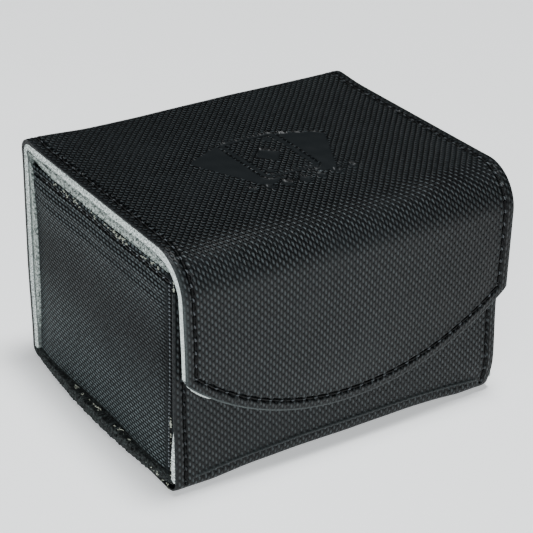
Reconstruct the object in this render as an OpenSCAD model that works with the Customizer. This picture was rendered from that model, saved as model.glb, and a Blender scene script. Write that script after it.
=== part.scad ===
// Card deck box: a folding case in black leatherette over board.
// One long wrap makes the front, the bottom, the back, the lid and the flap. Two sewn side
// panels close it. The lid turns on the wrap at the top back edge, and the flap turns on the
// wrap at the front edge of the lid. X runs across the front, -Y is the front, +Z is up, and
// the origin is under the middle of the case.

/* [Case] */
// Width over the cut edges of the wrap
case_w = 122; // [100:1:150]
// Depth from the back face to the face of the closed flap
case_d = 101; // [80:1:130]
// Height from the table to the top of the lid
case_h = 81; // [70:1:110]
// How far each side panel sits inside the cut edges of the wrap
side_inset = 1; // [0.5:0.1:2]

/* [Layers] */
// Thickness of the leatherette
skin_t = 0.8; // [0.5:0.1:1.2]
// Thickness of the pale core that runs through the back, the lid and the flap
core_t = 2.6; // [2:0.1:3]
// Thickness of the felt on the inside of the back panel
back_pad_t = 2.4; // [1:0.1:3]
// Thickness of the board in the bottom panel
bottom_board_t = 2.4; // [1.5:0.1:3]
// Thickness of the felt on the floor of the case
bottom_pad_t = 1.8; // [1:0.1:3]
// Thickness of the board in the front panel
front_board_t = 2; // [1.5:0.1:3]
// Thickness of the cloth lining on the front and side panels
lining_t = 0.8; // [0.4:0.1:1.2]
// Thickness of the foam under the leatherette of a side panel
side_foam_t = 1; // [0.5:0.1:2]
// Thickness of the board in a side panel
side_board_t = 2; // [1.5:0.1:3]
// Thickness of the felt pad under the lid
lid_pad_t = 3.2; // [1.5:0.1:4]
// Thickness of the cloth behind the flap
flap_lining_t = 0.4; // [0.2:0.1:0.6]

/* [Folds] */
// Outer radius of the wrap at the top back edge, where the lid turns
hinge_r = 4.5; // [3.5:0.5:6]
// Outer radius of the soft fold between the lid and the flap
fold_r = 14; // [10:1:18]
// Outer radius of the wrap at the bottom back edge
heel_r = 5; // [4.5:0.5:6]
// Outer radius of the wrap at the bottom front edge
toe_r = 4; // [3.5:0.5:5]
// Space between the two halves of the wrap at a turning line
split_gap = 0.3; // [0.2:0.05:0.5]

/* [Flap] */
// Height of the lowest point of the flap above the table
flap_low = 17; // [12:1:35]
// Radius of the curved lower edge of the flap
flap_arc_r = 93; // [80:1:140]
// Space between the closed flap and the front panel
flap_gap = 0.5; // [0.3:0.1:1]
// Space between the lid pad and the top edges of the walls
lid_gap = 0.8; // [0.4:0.1:1.5]

/* [Closure magnets] */
// Width of each magnet
magnet_w = 12; // [8:1:12]
// Height of each magnet
magnet_h = 8; // [6:1:10]
// Distance of each magnet from the middle of the case
magnet_x = 24; // [15:1:30]
// Height of the magnet centres above the table
magnet_z = 33; // [30:1:40]
// Thickness of each magnet
magnet_t = 1.5; // [1:0.1:1.5]

/* [Stitching] */
// Distance of each stitch row from the edge it follows
row_inset = 3.5; // [3:0.25:5]
// Distance from one stitch to the next on the wrap
wrap_pitch = 4.4; // [3:0.2:5]
// Distance from one stitch to the next on the side panels
side_pitch = 2.6; // [2:0.2:4]
// Distance of the side panels' stitch rows from their edges
side_row_inset = 2; // [1.5:0.1:4]
// Width of the thread
thread_w = 0.8; // [0.5:0.1:1.2]
// Depth of the groove that a stitch row is pulled down into
groove_t = 0.35; // [0.2:0.05:0.5]

/* [Emblem] */
// Height of each card in the pressed emblem of the lid
card_h = 30; // [20:1:36]
// Width of each card in the pressed emblem of the lid
card_w = 21; // [14:1:26]
// Angle between one card of the emblem's fan and the next
fan_angle = 26; // [10:1:30]
// Depth of the pressed emblem
emblem_t = 0.3; // [0.1:0.05:0.5]

/* [Hidden] */
$fn = 96;

// Faces of the case, from the outside in
back_y = case_d / 2;
flap_y = -case_d / 2;
flap_t = skin_t + core_t + flap_lining_t;
front_y = flap_y + flap_t + flap_gap;
back_board_y = back_y - skin_t;
back_pad_y = back_board_y - core_t;
well_back = back_pad_y - back_pad_t;
front_board_y = front_y + skin_t;
front_lining_y = front_board_y + front_board_t;
well_front = front_lining_y + lining_t;
floor_z = skin_t + bottom_board_t + bottom_pad_t;
lid_under = case_h - skin_t - core_t - lid_pad_t;
wall_top = lid_under - lid_gap;
side_x = case_w / 2 - side_inset;
wall_h = wall_top - floor_z;
well_d = well_back - well_front;

// Centres of the bends, as [y, z]
hinge_c = [back_y - hinge_r, case_h - hinge_r];
fold_c = [flap_y + fold_r, case_h - fold_r];
heel_c = [back_y - heel_r, heel_r];
toe_c = [front_y + toe_r, toe_r];

// Where the two halves of each bend part, as an angle about the bend's centre
hinge_parting = 45;
fold_parting = 135;

// The front panel ends where it would meet the inside of the fold
fold_room = fold_r - flap_t - split_gap;
front_top = fold_c[1] + sqrt(fold_room * fold_room - pow(fold_c[0] - front_y, 2));

// Lower edge of the flap
arc_z = flap_low + flap_arc_r;
row_x = case_w / 2 - row_inset;
arc_row_r = flap_arc_r - row_inset;
arc_row_end = asin(row_x / arc_row_r);
flap_row_low = arc_z - arc_row_r * cos(arc_row_end);

stitch_part = 0.65;  // share of the pitch that thread covers
groove_w = 1.5 * thread_w;
stitch_t = groove_t - 0.05;
emblem_y = -3;
card_corner = 2.5;
pip = 7;
outline_w = 1.6;

leatherette = [0.11, 0.12, 0.13];
raw_board = [0.78, 0.81, 0.79];
felt = [0.62, 0.66, 0.65];
lining_cloth = [0.7, 0.73, 0.72];
foam = [0.86, 0.86, 0.82];
thread = [0.05, 0.05, 0.06];
steel = [0.6, 0.62, 0.65];

// ---- Shapes that repeat ----

// Runs a profile drawn in Y and Z across the width of the case
module across(w = case_w) {
    translate([-w / 2, 0, 0])
        rotate([90, 0, 90])
            linear_extrude(w)
                children();
}

// Runs an outline drawn in X and Z from y towards the back
module deep(y, t) {
    translate([0, y + t, 0])
        rotate([90, 0, 0])
            linear_extrude(t)
                children();
}

// A flat layer that fills the space between two corners
module slab(low, high) {
    translate(low)
        cube(high - low);
}

// A piece of a round band, from one angle to another, in the plane of a profile
module bend(c, r, t, a0, a1) {
    reach = 2 * r;
    mid = (a0 + a1) / 2;
    translate(c)
        intersection() {
            difference() {
                circle(r);
                circle(r - t);
            }
            polygon([
                [0, 0],
                reach * [cos(a0), sin(a0)],
                reach * [cos(mid), sin(mid)],
                reach * [cos(a1), sin(a1)],
            ]);
        }
}

// One half of a bend, with its share of the slit at the parting line cut away
module half_bend(c, r, t, a0, a1, parting) {
    difference() {
        bend(c, r, t, a0, a1);
        translate(c)
            rotate(parting)
                translate([0, -split_gap / 2])
                    square([2 * r, split_gap]);
    }
}

// A straight strip of a profile between two corners
module strip(low, high) {
    translate(low)
        square(high - low);
}

// One stitch, lying along X and centred on its own place, pulled t into the face at z = 0
module stitch(pitch) {
    translate([-stitch_part * pitch / 2, -thread_w / 2, -groove_t])
        cube([stitch_part * pitch, thread_w, stitch_t]);
}

// A row of stitches along X from 0 to len
module stitch_row(len, pitch) {
    count = floor(len / pitch);
    step = len / count;
    for (i = [0:count - 1])
        translate([(i + 0.5) * step, 0, 0])
            stitch(step);
}

// The groove that such a row lies in
module groove(len) {
    translate([0, -groove_w / 2, -groove_t])
        cube([len, groove_w, 2 * groove_t]);
}

// Turns a row so that it runs along Y on a face that looks up
module row_on_top(x, y0) {
    translate([x, y0, case_h])
        rotate([0, 0, 90])
            children();
}

// Turns a row so that it runs up a face that looks to the back (facing 1) or the front (-1)
module row_up(x, y, z0, facing) {
    translate([x, y, z0])
        rotate([0, -90, 0])
            rotate([-facing * 90, 0, 0])
                children();
}

// Places a row of stitches or its groove on both sides of the case
module both_rows() {
    for (side = [-1, 1])
        translate([side * row_x, 0, 0])
            children();
}

// Everything that belongs to one side panel is drawn for the right and mirrored for the left
module on_side(side) {
    if (side < 0)
        mirror([1, 0, 0])
            children();
    else
        children();
}

// A layer of the right side panel, t thick, whose outer face is `under` below the panel's face
module side_layer(under, t) {
    slab([side_x - under - t, well_front, floor_z], [side_x - under, well_back, wall_top]);
}

// Puts a row along the top edge of the right side panel
module side_top_row() {
    translate([side_x, well_front + side_row_inset, wall_top - side_row_inset])
        rotate([90, 0, 90])
            children();
}

// Puts a row up the front edge of the right side panel
module side_front_row() {
    translate([side_x, well_front + side_row_inset, floor_z + side_row_inset])
        rotate([0, -90, 0])
            mirror([0, 0, 1])
                children();
}

side_top_len = well_d - 2 * side_row_inset;
side_front_len = wall_h - 3 * side_row_inset;
lid_row_len = hinge_c[0] - fold_c[0];
back_row_len = hinge_c[1] - heel_c[1];
front_row_len = front_top - toe_c[1] - row_inset;
flap_row_len = fold_c[1] - flap_row_low;

// ---- Back panel ----

module back_cover() {
    color(leatherette)
        difference() {
            across() {
                strip([back_board_y, heel_c[1]], [back_y, hinge_c[1]]);
                half_bend(hinge_c, hinge_r, skin_t, 0, 45, hinge_parting);
            }
            both_rows()
                row_up(0, back_y, heel_c[1], 1)
                    groove(back_row_len);
        }
}

module back_board() {
    color(raw_board)
        across() {
            strip([back_pad_y, floor_z], [back_board_y, hinge_c[1]]);
            half_bend(hinge_c, hinge_r - skin_t, core_t, 0, 45, hinge_parting);
        }
}

module back_pad() {
    color(felt)
        slab([-case_w / 2, well_back, floor_z], [case_w / 2, back_pad_y, wall_top]);
}

module back_stitching() {
    color(thread)
        both_rows()
            row_up(0, back_y, heel_c[1], 1)
                stitch_row(back_row_len, wrap_pitch);
}

// ---- Bottom panel ----

module bottom_cover() {
    color(leatherette)
        across() {
            strip([toe_c[0], 0], [heel_c[0], skin_t]);
            bend(heel_c, heel_r, skin_t, -90, 0);
            bend(toe_c, toe_r, skin_t, 180, 270);
        }
}

module bottom_board() {
    color(raw_board)
        slab(
            [-case_w / 2, toe_c[0], skin_t],
            [case_w / 2, heel_c[0], skin_t + bottom_board_t]
        );
}

module bottom_pad() {
    edge_room = 0.5;
    color(felt)
        slab(
            [-case_w / 2, front_board_y + edge_room, skin_t + bottom_board_t],
            [case_w / 2, back_board_y - 2 * edge_room, floor_z]
        );
}

// ---- Front panel ----

module front_cover() {
    color(leatherette)
        difference() {
            slab([-case_w / 2, front_y, toe_c[1]], [case_w / 2, front_board_y, front_top]);
            both_rows()
                row_up(0, front_y, toe_c[1], -1)
                    groove(front_row_len);
        }
}

module magnet_places() {
    for (side = [-1, 1])
        translate([side * magnet_x - magnet_w / 2, 0, magnet_z - magnet_h / 2])
            children();
}

module front_magnets() {
    color(steel)
        magnet_places()
            translate([0, front_board_y, 0])
                cube([magnet_w, magnet_t, magnet_h]);
}

module front_board() {
    color(raw_board)
        difference() {
            slab(
                [-case_w / 2, front_board_y, floor_z],
                [case_w / 2, front_lining_y, front_top]
            );
            front_magnets();
        }
}

module front_lining() {
    color(lining_cloth)
        slab([-case_w / 2, front_lining_y, floor_z], [case_w / 2, well_front, front_top]);
}

module front_stitching() {
    color(thread)
        both_rows()
            row_up(0, front_y, toe_c[1], -1)
                stitch_row(front_row_len, wrap_pitch);
}

// ---- Side panels ----

module side_cover(side) {
    color(leatherette)
        on_side(side)
            difference() {
                side_layer(0, skin_t);
                side_top_row()
                    groove(side_top_len);
                side_front_row()
                    groove(side_front_len);
            }
}

module side_foam(side) {
    color(foam)
        on_side(side)
            side_layer(skin_t, side_foam_t);
}

module side_board(side) {
    color(raw_board)
        on_side(side)
            side_layer(skin_t + side_foam_t, side_board_t);
}

module side_lining(side) {
    color(lining_cloth)
        on_side(side)
            side_layer(skin_t + side_foam_t + side_board_t, lining_t);
}

module side_stitching(side) {
    color(thread)
        on_side(side) {
            side_top_row()
                stitch_row(side_top_len, side_pitch);
            side_front_row()
                stitch_row(side_front_len, side_pitch);
        }
}

// ---- Lid ----

// A card with round corners, centred, made of true arcs
module card_2d(w, h) {
    square([w, h - 2 * card_corner], center = true);
    square([w - 2 * card_corner, h], center = true);
    for (sx = [-1, 1], sy = [-1, 1])
        translate([sx * (w / 2 - card_corner), sy * (h / 2 - card_corner)])
            circle(card_corner);
}

// The pressed emblem: outlines of three fanned cards, with a diamond on the middle one
module emblem_2d() {
    pivot = card_h * 0.75;
    for (a = [-fan_angle, 0, fan_angle])
        translate([0, emblem_y - pivot])
            rotate(-a)
                translate([0, pivot])
                    difference() {
                        card_2d(card_w, card_h);
                        card_2d(card_w - 2 * outline_w, card_h - 2 * outline_w);
                    }
    translate([0, emblem_y])
        rotate(45)
            square(pip, center = true);
}

module lid_cover() {
    color(leatherette)
        difference() {
            across() {
                strip([fold_c[0], case_h - skin_t], [hinge_c[0], case_h]);
                half_bend(hinge_c, hinge_r, skin_t, 45, 90, hinge_parting);
                half_bend(fold_c, fold_r, skin_t, 90, 135, fold_parting);
            }
            both_rows()
                row_on_top(0, fold_c[0])
                    groove(lid_row_len);
            translate([0, 0, case_h - emblem_t])
                linear_extrude(1)
                    emblem_2d();
        }
}

module lid_board() {
    color(raw_board)
        across() {
            strip([fold_c[0], case_h - skin_t - core_t], [hinge_c[0], case_h - skin_t]);
            half_bend(hinge_c, hinge_r - skin_t, core_t, 45, 90, hinge_parting);
            half_bend(fold_c, fold_r - skin_t, core_t, 90, 135, fold_parting);
        }
}

// The pad's front end is rounded to lie inside the fold
module lid_pad() {
    pad_top = lid_under + lid_pad_t;
    color(felt)
        across() {
            strip([fold_c[0], lid_under], [back_pad_y - split_gap, pad_top]);
            intersection() {
                strip([flap_y, lid_under], [fold_c[0], pad_top]);
                translate(fold_c)
                    circle(fold_r - skin_t - core_t - split_gap);
            }
        }
}

module lid_stitching() {
    color(thread)
        both_rows()
            row_on_top(0, fold_c[0])
                stitch_row(lid_row_len, wrap_pitch);
}

// ---- Flap ----

// The flap's outline in X and Z: straight sides and a curved lower edge
module flap_outline() {
    intersection() {
        translate([-case_w / 2, 0])
            square([case_w, case_h]);
        translate([0, arc_z])
            circle(flap_arc_r, $fn = 180);
    }
}

// A layer of the flap: its face at `under` below the flap's face, down from the fold
module flap_layer(under, t) {
    intersection() {
        across() {
            strip([flap_y + under, 0], [flap_y + under + t, fold_c[1]]);
            half_bend(fold_c, fold_r - under, t, 135, 180, fold_parting);
        }
        deep(flap_y - 1, fold_r + 2)
            flap_outline();
    }
}

module curved_row() {
    count = floor(2 * arc_row_end * PI / 180 * arc_row_r / wrap_pitch);
    step = 2 * arc_row_end / count;
    for (i = [0:count - 1])
        let (a = -arc_row_end + (i + 0.5) * step)
            translate([arc_row_r * sin(a), flap_y, arc_z - arc_row_r * cos(a)])
                rotate([0, -a, 0])
                    rotate([90, 0, 0])
                        stitch(step * PI / 180 * arc_row_r);
}

module curved_groove() {
    deep(flap_y - groove_t, 2 * groove_t)
        intersection() {
            translate([0, arc_z])
                difference() {
                    circle(arc_row_r + groove_w / 2, $fn = 180);
                    circle(arc_row_r - groove_w / 2, $fn = 180);
                }
            translate([-row_x - groove_w / 2, 0])
                square([2 * row_x + groove_w, flap_row_low + groove_w]);
        }
}

module flap_cover() {
    color(leatherette)
        difference() {
            flap_layer(0, skin_t);
            both_rows()
                row_up(0, flap_y, flap_row_low, -1)
                    groove(flap_row_len);
            curved_groove();
        }
}

module flap_magnets() {
    color(steel)
        magnet_places()
            translate([0, flap_y + skin_t + core_t - magnet_t, 0])
                cube([magnet_w, magnet_t, magnet_h]);
}

module flap_board() {
    color(raw_board)
        difference() {
            flap_layer(skin_t, core_t);
            flap_magnets();
        }
}

module flap_lining() {
    color(lining_cloth)
        flap_layer(skin_t + core_t, flap_lining_t);
}

module flap_stitching() {
    color(thread) {
        both_rows()
            row_up(0, flap_y, flap_row_low, -1)
                stitch_row(flap_row_len, wrap_pitch);
        curved_row();
    }
}

// ---- Nodes ----

back_cover();
back_board();
back_pad();
back_stitching();
bottom_cover();
bottom_board();
bottom_pad();
front_cover();
front_board();
front_lining();
front_magnets();
front_stitching();
side_cover(-1);  // left_cover
side_foam(-1);  // left_foam
side_board(-1);  // left_board
side_lining(-1);  // left_lining
side_stitching(-1);  // left_stitching
side_cover(1);  // right_cover
side_foam(1);  // right_foam
side_board(1);  // right_board
side_lining(1);  // right_lining
side_stitching(1);  // right_stitching
lid_cover();
lid_board();
lid_pad();
lid_stitching();
flap_cover();
flap_board();
flap_lining();
flap_magnets();
flap_stitching();
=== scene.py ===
import math

import bpy
import numpy as np
from mathutils import Matrix, Vector


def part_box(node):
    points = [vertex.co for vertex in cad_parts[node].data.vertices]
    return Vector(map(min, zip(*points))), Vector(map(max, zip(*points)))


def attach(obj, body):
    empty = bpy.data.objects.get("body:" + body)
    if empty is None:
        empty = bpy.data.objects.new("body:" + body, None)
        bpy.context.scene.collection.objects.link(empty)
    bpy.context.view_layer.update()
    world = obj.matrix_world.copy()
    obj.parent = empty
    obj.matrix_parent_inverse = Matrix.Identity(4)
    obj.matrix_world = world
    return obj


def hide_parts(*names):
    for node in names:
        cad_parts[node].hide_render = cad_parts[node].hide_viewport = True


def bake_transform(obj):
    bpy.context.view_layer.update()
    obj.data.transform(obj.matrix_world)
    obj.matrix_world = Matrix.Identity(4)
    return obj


# Looks of the landscape card deck box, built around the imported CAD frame.
#
# Lengths inside the helpers are millimetres and become metres when a mesh is made. `s` is a length
# along the outer face of the wrap, seen from the side: down the front, along the bottom, up the
# back, over the lid, round the fold and down the flap.

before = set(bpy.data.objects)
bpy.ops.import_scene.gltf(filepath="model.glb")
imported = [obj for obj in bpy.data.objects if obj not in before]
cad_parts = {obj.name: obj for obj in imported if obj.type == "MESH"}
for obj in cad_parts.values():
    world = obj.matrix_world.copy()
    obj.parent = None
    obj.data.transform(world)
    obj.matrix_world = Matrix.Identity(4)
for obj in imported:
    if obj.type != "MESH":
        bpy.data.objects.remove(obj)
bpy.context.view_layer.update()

MM = 0.001


# ---- Sizes, from the frame ----

def corners(node):
    lo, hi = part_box(node)
    return np.array(lo) / MM, np.array(hi) / MM


HALF, _, TOP = corners("lid_cover")[1]
BACK = corners("back_cover")[1][1]
_, FLAP, FLAP_LOW = corners("flap_cover")[0]
FRONT = corners("front_cover")[0][1]
FRONT_TOP = corners("front_cover")[1][2]
SIDE = corners("right_cover")[1][0]
WELL_LO, WELL_HI = corners("left_lining")

SKIN_T = 0.8  # the leatherette
CORE_T = 2.6  # the wrap's board
HINGE_R = 4.5  # outer bend at the top of the back
FOLD_R = 14.0  # outer bend from the lid to the flap
HEEL_R = 5.0  # outer bend at the foot of the back
TOE_R = 4.0  # outer bend at the foot of the front
ARC_R = 93.0  # the flap's curved lower edge
ARC_Z = FLAP_LOW + ARC_R
ROW_INSET = 3.5  # from a cut edge to the stitch row beside it
ROW_X = HALF - ROW_INSET
STITCH = 4.4
SIDE_STITCH = 1.35
FOLD_Y = FLAP + FOLD_R
FOLD_Z = TOP - FOLD_R


# ---- Small maths ----

def smooth(t):
    t = np.clip(t, 0.0, 1.0)
    return t * t * (3 - 2 * t)


def ramp(value, start, end):
    return smooth((value - start) / (end - start))


def dent(distance, width):
    return np.exp(-np.square(distance / width))


def between(value, rise, risen, fall, fallen):
    """0, then 1 from risen to fall, then 0 again."""
    return ramp(value, rise, risen) * (1 - ramp(value, fall, fallen))


def even(start, end, step):
    return np.linspace(start, end, max(2, round((end - start) / step) + 1))


def join(*grids):
    """Grids side by side."""
    return np.concatenate(grids, 1)


WAVES = 7


def wobble(a, b, size, seed):
    """A smooth random field of about -1 to 1 whose waves are about `size` long."""
    draw = np.random.default_rng(seed)
    total = 0.0
    for _ in range(WAVES):
        turn, phase = draw.uniform(0, 2 * math.pi, 2)
        k = 2 * math.pi / (size * draw.uniform(0.6, 1.6))
        total = total + np.sin(k * (a * math.cos(turn) + b * math.sin(turn)) + phase)
    return total / (1.4 * math.sqrt(WAVES))


class Path:
    """The wrap's outer face from the side: place and outward direction for a length s."""

    def __init__(self, start, facing, parts):
        marks, angles = [0.0], [facing]
        for length, turn in parts:
            marks.append(marks[-1] + length)
            angles.append(angles[-1] + turn)
        self.marks = marks
        step = 0.01
        self.s = np.arange(0, marks[-1] + step, step)
        self.angle = np.radians(np.interp(self.s, marks, angles))
        middle = (self.angle[1:] + self.angle[:-1]) / 2
        self.y = start[0] + np.concatenate([[0], np.cumsum(-np.sin(middle)) * step])
        self.z = start[1] + np.concatenate([[0], np.cumsum(np.cos(middle)) * step])

    def at(self, x, s, out=0.0):
        """Points at x across, s along and `out` above the face."""
        x, s, out = np.broadcast_arrays(x, s, out)
        angle = np.interp(s, self.s, self.angle)
        x = x + FLAP_LEAN * np.clip(-x / HALF, 0, 1) * ramp(s, S_FOLD - 4, S_FLAP + 30)
        x = x - FOOT_ROUND * ramp(x, HALF - 12, HALF) * dent(s - S_TOE - 4, 6)
        y = np.interp(s, self.s, self.y) + out * np.cos(angle)
        z = np.interp(s, self.s, self.z) + out * np.sin(angle)
        return np.stack([x, y, z], -1)


WRAP = Path(
    (FRONT, FRONT_TOP),
    180,
    [
        (FRONT_TOP - TOE_R, 0),
        (TOE_R * math.pi / 2, 90),
        (BACK - HEEL_R - FRONT - TOE_R, 0),
        (HEEL_R * math.pi / 2, 90),
        (TOP - HINGE_R - HEEL_R, 0),
        (HINGE_R * math.pi / 2, 90),
        (BACK - HINGE_R - FOLD_Y, 0),
        (FOLD_R * math.pi / 2, 90),
        (FOLD_Z, 0),
    ],
)
S_TOE, S_FLOOR, S_HEEL, S_BACK, S_HINGE, S_LID, S_FOLD, S_FLAP = WRAP.marks[1:9]
FLAP_LEAN = 1.9  # the flap's left edge draws in on its way down
FOOT_ROUND = 2.6  # the front's right foot is worn round
S_SQUEEZE = S_FLAP + 8  # from here the flap's rows close up towards its curved end
S_JOIN = S_LID + 10  # where the back's leatherette hands over to the lid's


def flap_end(x):
    """The length s at which the flap's curved lower edge lies, by x."""
    arc = ARC_Z - np.sqrt(ARC_R**2 - np.minimum(np.abs(x), HALF) ** 2)
    round_corner = 0.5 * np.square(np.clip((np.abs(x) - HALF + 3) / 3, 0, 1))
    return S_FLAP + FOLD_Z - arc - round_corner


FLAP_LENGTH = float(flap_end(np.array(0.0))) - S_FOLD


# ---- Stitch rows ----

ARC_ROW_R = ARC_R - ROW_INSET
ARC_END = math.asin(ROW_X / ARC_ROW_R)
S_CORNER = S_FLAP + FOLD_Z - (ARC_Z - ARC_ROW_R * math.cos(ARC_END))
S_ROW = S_BACK + 1.5
SIDE_COUNT = round((S_CORNER - S_ROW) / STITCH)
SIDE_STEP = (S_CORNER - S_ROW) / SIDE_COUNT
ARC_COUNT = round(2 * ARC_END * ARC_ROW_R / STITCH)
ARC_STEP = 2 * ARC_END * ARC_ROW_R / ARC_COUNT
FRONT_ROW = (2.5, S_TOE - 0.5)
FRONT_COUNT = round((FRONT_ROW[1] - FRONT_ROW[0]) / STITCH)
FRONT_STEP = (FRONT_ROW[1] - FRONT_ROW[0]) / FRONT_COUNT


FURROW_DEPTH, FURROW_WIDTH = 0.72, 0.74
HOLE_DEPTH, HOLE_WIDTH = 0.4, 0.4
PUCKER = 0.12  # how far the leatherette rises beside a row


def furrow(off, along, step):
    """How a stitch row presses the leatherette: a furrow, a hole at each end of a stitch."""
    phase = np.abs(along / step - np.round(along / step))
    to_hole = phase * step
    pressed = FURROW_DEPTH * dent(off, FURROW_WIDTH) * (0.12 + 0.88 * ramp(phase, 0.06, 0.2))
    holes = HOLE_DEPTH * dent(np.hypot(off, to_hole - 0.6), HOLE_WIDTH)
    pucker = PUCKER * dent(np.abs(off) - 1.2, 0.5)
    return -pressed - holes + pucker


def rows_relief(x, s):
    """What all the stitch rows of the wrap do to its face."""
    off = np.abs(x) - ROW_X
    total = np.zeros(np.broadcast(x, s).shape)
    on_side = (s >= S_ROW - 1) & (s <= S_CORNER + 0.6)
    total += np.where(on_side, furrow(off, s - S_ROW, SIDE_STEP), 0)
    on_front = (s >= FRONT_ROW[0] - 1) & (s <= FRONT_ROW[1] + 1)
    total += np.where(on_front, furrow(off, s - FRONT_ROW[0], FRONT_STEP), 0)
    down = s - S_FLAP
    z = FOLD_Z - down
    reach, turn = np.hypot(x, ARC_Z - z), np.arctan2(x, ARC_Z - z)
    on_arc = (down > 0) & (np.abs(turn) <= ARC_END + 0.004)
    along = (turn + ARC_END) * ARC_ROW_R
    total += np.where(on_arc, furrow(reach - ARC_ROW_R, along, ARC_STEP), 0)
    return total


def edge_distance(x, s):
    """Distance to the wrap's nearest cut edge."""
    z = FOLD_Z - (s - S_FLAP)
    arc = np.where(s > S_FLAP, ARC_R - np.hypot(x, ARC_Z - z), 1e3)
    return np.minimum(HALF - np.abs(x), arc)


# ---- The pressed emblem: a fan of three plain cards over a row of diamonds ----

EMBLEM_Y = -1.0
CARD = (10.5, 15.0)
CARD_ROUND = 2.5
FAN = 26.0
PIVOT = 22.5
PIP_ROW_Y = -22.0


def lid_y(s):
    return BACK - HINGE_R - (s - S_LID)


def card_distance(x, y, turn):
    """Signed distance to the outline of one card of the fan; negative inside."""
    c, sn = math.cos(math.radians(turn)), math.sin(math.radians(turn))
    dy = y - (EMBLEM_Y - PIVOT)
    px, py = x * c - dy * sn, x * sn + dy * c - PIVOT
    qx = np.abs(px) - CARD[0] + CARD_ROUND
    qy = np.abs(py) - CARD[1] + CARD_ROUND
    outside = np.hypot(np.maximum(qx, 0), np.maximum(qy, 0))
    return outside + np.minimum(np.maximum(qx, qy), 0) - CARD_ROUND


def diamond_distance(x, y, half):
    return (np.abs(x) * 1.25 + np.abs(y) - half) * 0.62


def stamp(distance, depth, lip):
    """(height, how smooth) of a pressed shape with a raised lip round it."""
    inside = ramp(-distance, -0.3, 0.3)
    return -depth * inside + lip * dent(distance - 0.6, 0.4), inside


def emblem(x, s):
    """(height, how smooth) of the emblem at a place on the lid."""
    y = lid_y(s)
    middle = card_distance(x, y, 0)
    sides = np.minimum(card_distance(x, y, FAN), card_distance(x, y, -FAN))
    outline = np.abs(middle + 1.0) - 0.9
    marks = [stamp(np.maximum(sides, 0.7 - middle), 0.3, 0.15), stamp(outline, 0.34, 0.12)]
    marks.append(stamp(diamond_distance(x, y - EMBLEM_Y, 5.6), 0.36, 0.18))
    for place in (-1, 1):
        far = diamond_distance(x - place * 6.0, y - EMBLEM_Y - place * 10.4, 2.1)
        marks.append(stamp(far, 0.3, 0.12))
    for k in range(-3, 4):
        far = diamond_distance(x - 6.2 * k, y - PIP_ROW_Y - 0.35 * abs(k), 3.0 - 0.3 * abs(k))
        marks.append(stamp(far, 0.45, 0.24))
    pressed = np.max([mark[1] for mark in marks], 0)
    height = sum(mark[0] for mark in marks) + 0.22 * pressed * wobble(x, y, 8, 15)
    return height, np.clip(pressed, 0, 1)


# ---- The wrap's face ----

FRONT_FLARE = 1.25  # how far the front's foot stands out
HEEL_IN = 1.5  # how far the back's foot is drawn in
FOOT_ARCH = 1.0  # how far the front's lower edge rises in the middle


def stance(s):
    """How the box stands: the front flares at its foot, the heel is drawn in."""
    flare = FRONT_FLARE * between(s, S_TOE - 30, S_TOE - 5, S_TOE + 0.5, S_FLOOR - 1)
    heel = HEEL_IN * between(s, S_HEEL - 26, S_HEEL, S_BACK, S_BACK + 34)
    return flare - heel


def padding(x, s):
    """The soft swell of the padding between the stitch rows, with slack and dents."""
    edge = edge_distance(x, s)
    inside = ramp(edge, ROW_INSET + 0.6, ROW_INSET + 9)
    on_lid = between(s, S_LID - 2, S_LID + 14, S_FOLD - 16, S_FOLD + 4)
    on_flap = ramp(s, S_FOLD + 8, S_FLAP + 12)
    on_back = between(s, S_BACK, S_BACK + 12, S_HINGE - 14, S_HINGE)
    on_front = 1 - ramp(s, S_TOE - 14, S_TOE - 4)
    swell = inside * (0.45 * on_lid + 0.15 * on_flap + 0.35 * on_back - 0.2 * on_front)
    swell = swell + 0.16 * inside * wobble(x, s, 46, 3)
    swell = swell + 0.05 * ramp(edge, 0.5, 3) * wobble(x, s, 13, 4)
    # slack leatherette gathers over the right of the fold, beside a shallow diagonal dent
    slack = np.hypot((x - 37) / 16, (s - S_FOLD - 6 + 0.25 * (x - 37)) / 5.5)
    hollow = np.hypot((x - 22) / 12, (s - S_FOLD - 3 - 0.5 * (x - 22)) / 3.5)
    swell = swell + 0.5 * dent(slack, 1.0) - 0.35 * dent(hollow, 1.0)
    swell = swell + 0.8 * ramp(x, -35, 40) * dent(s - S_LID + 1, 8)
    swell = swell + 0.8 * ramp(-x, 38, 56) * dent(s - S_LID + 1, 6)
    tuck = np.hypot((x + 41) / 4.0, (s - S_FOLD - 15 + 0.8 * (x + 41)) / 1.6)
    return swell - 0.3 * dent(tuck, 1.0)


def foot_ridge(x, s, width):
    """The crease across the front, a little above its foot."""
    at = S_TOE - 3.2 + 2.6 * np.power(np.abs(x) / HALF, 3)
    return dent(s - at, width) * ramp(HALF - np.abs(x), 4, 9)


def wrap_relief(x, s):
    """Height of the leatherette's face above the wrap's own profile."""
    edge = edge_distance(x, s)
    height = stance(s) + padding(x, s) + rows_relief(x, s)
    at_edge = np.clip(edge, 0, None)
    height = height - 0.2 * np.exp(-at_edge / 0.35)
    upright = between(s, S_HEEL, S_BACK, S_HINGE, S_LID)
    height = height + 0.85 * upright * np.exp(-at_edge / 1.4)
    height = height + 0.5 * foot_ridge(x, s, 0.5) - 0.3 * foot_ridge(x, s - 1.1, 0.6)
    lift = 1 - np.power(np.clip(np.abs(x) / 47, 0, 1), 4)
    under = between(s, S_TOE - 3, S_TOE + 3, S_FLOOR + 4, S_FLOOR + 16)
    return height - FOOT_ARCH * lift * under


def wrap_press(x, s):
    """How far the embossing is flattened: 1 in the margins and in the emblem."""
    edge = edge_distance(x, s)
    margin = 0.25 * (1 - ramp(edge, ROW_INSET - 0.8, ROW_INSET + 0.6))
    rim = 0.4 * (1 - ramp(edge, 0.2, 1.0))
    return np.clip(margin + rim + 0.8 * foot_ridge(x, s, 0.7), 0, 1)


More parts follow.
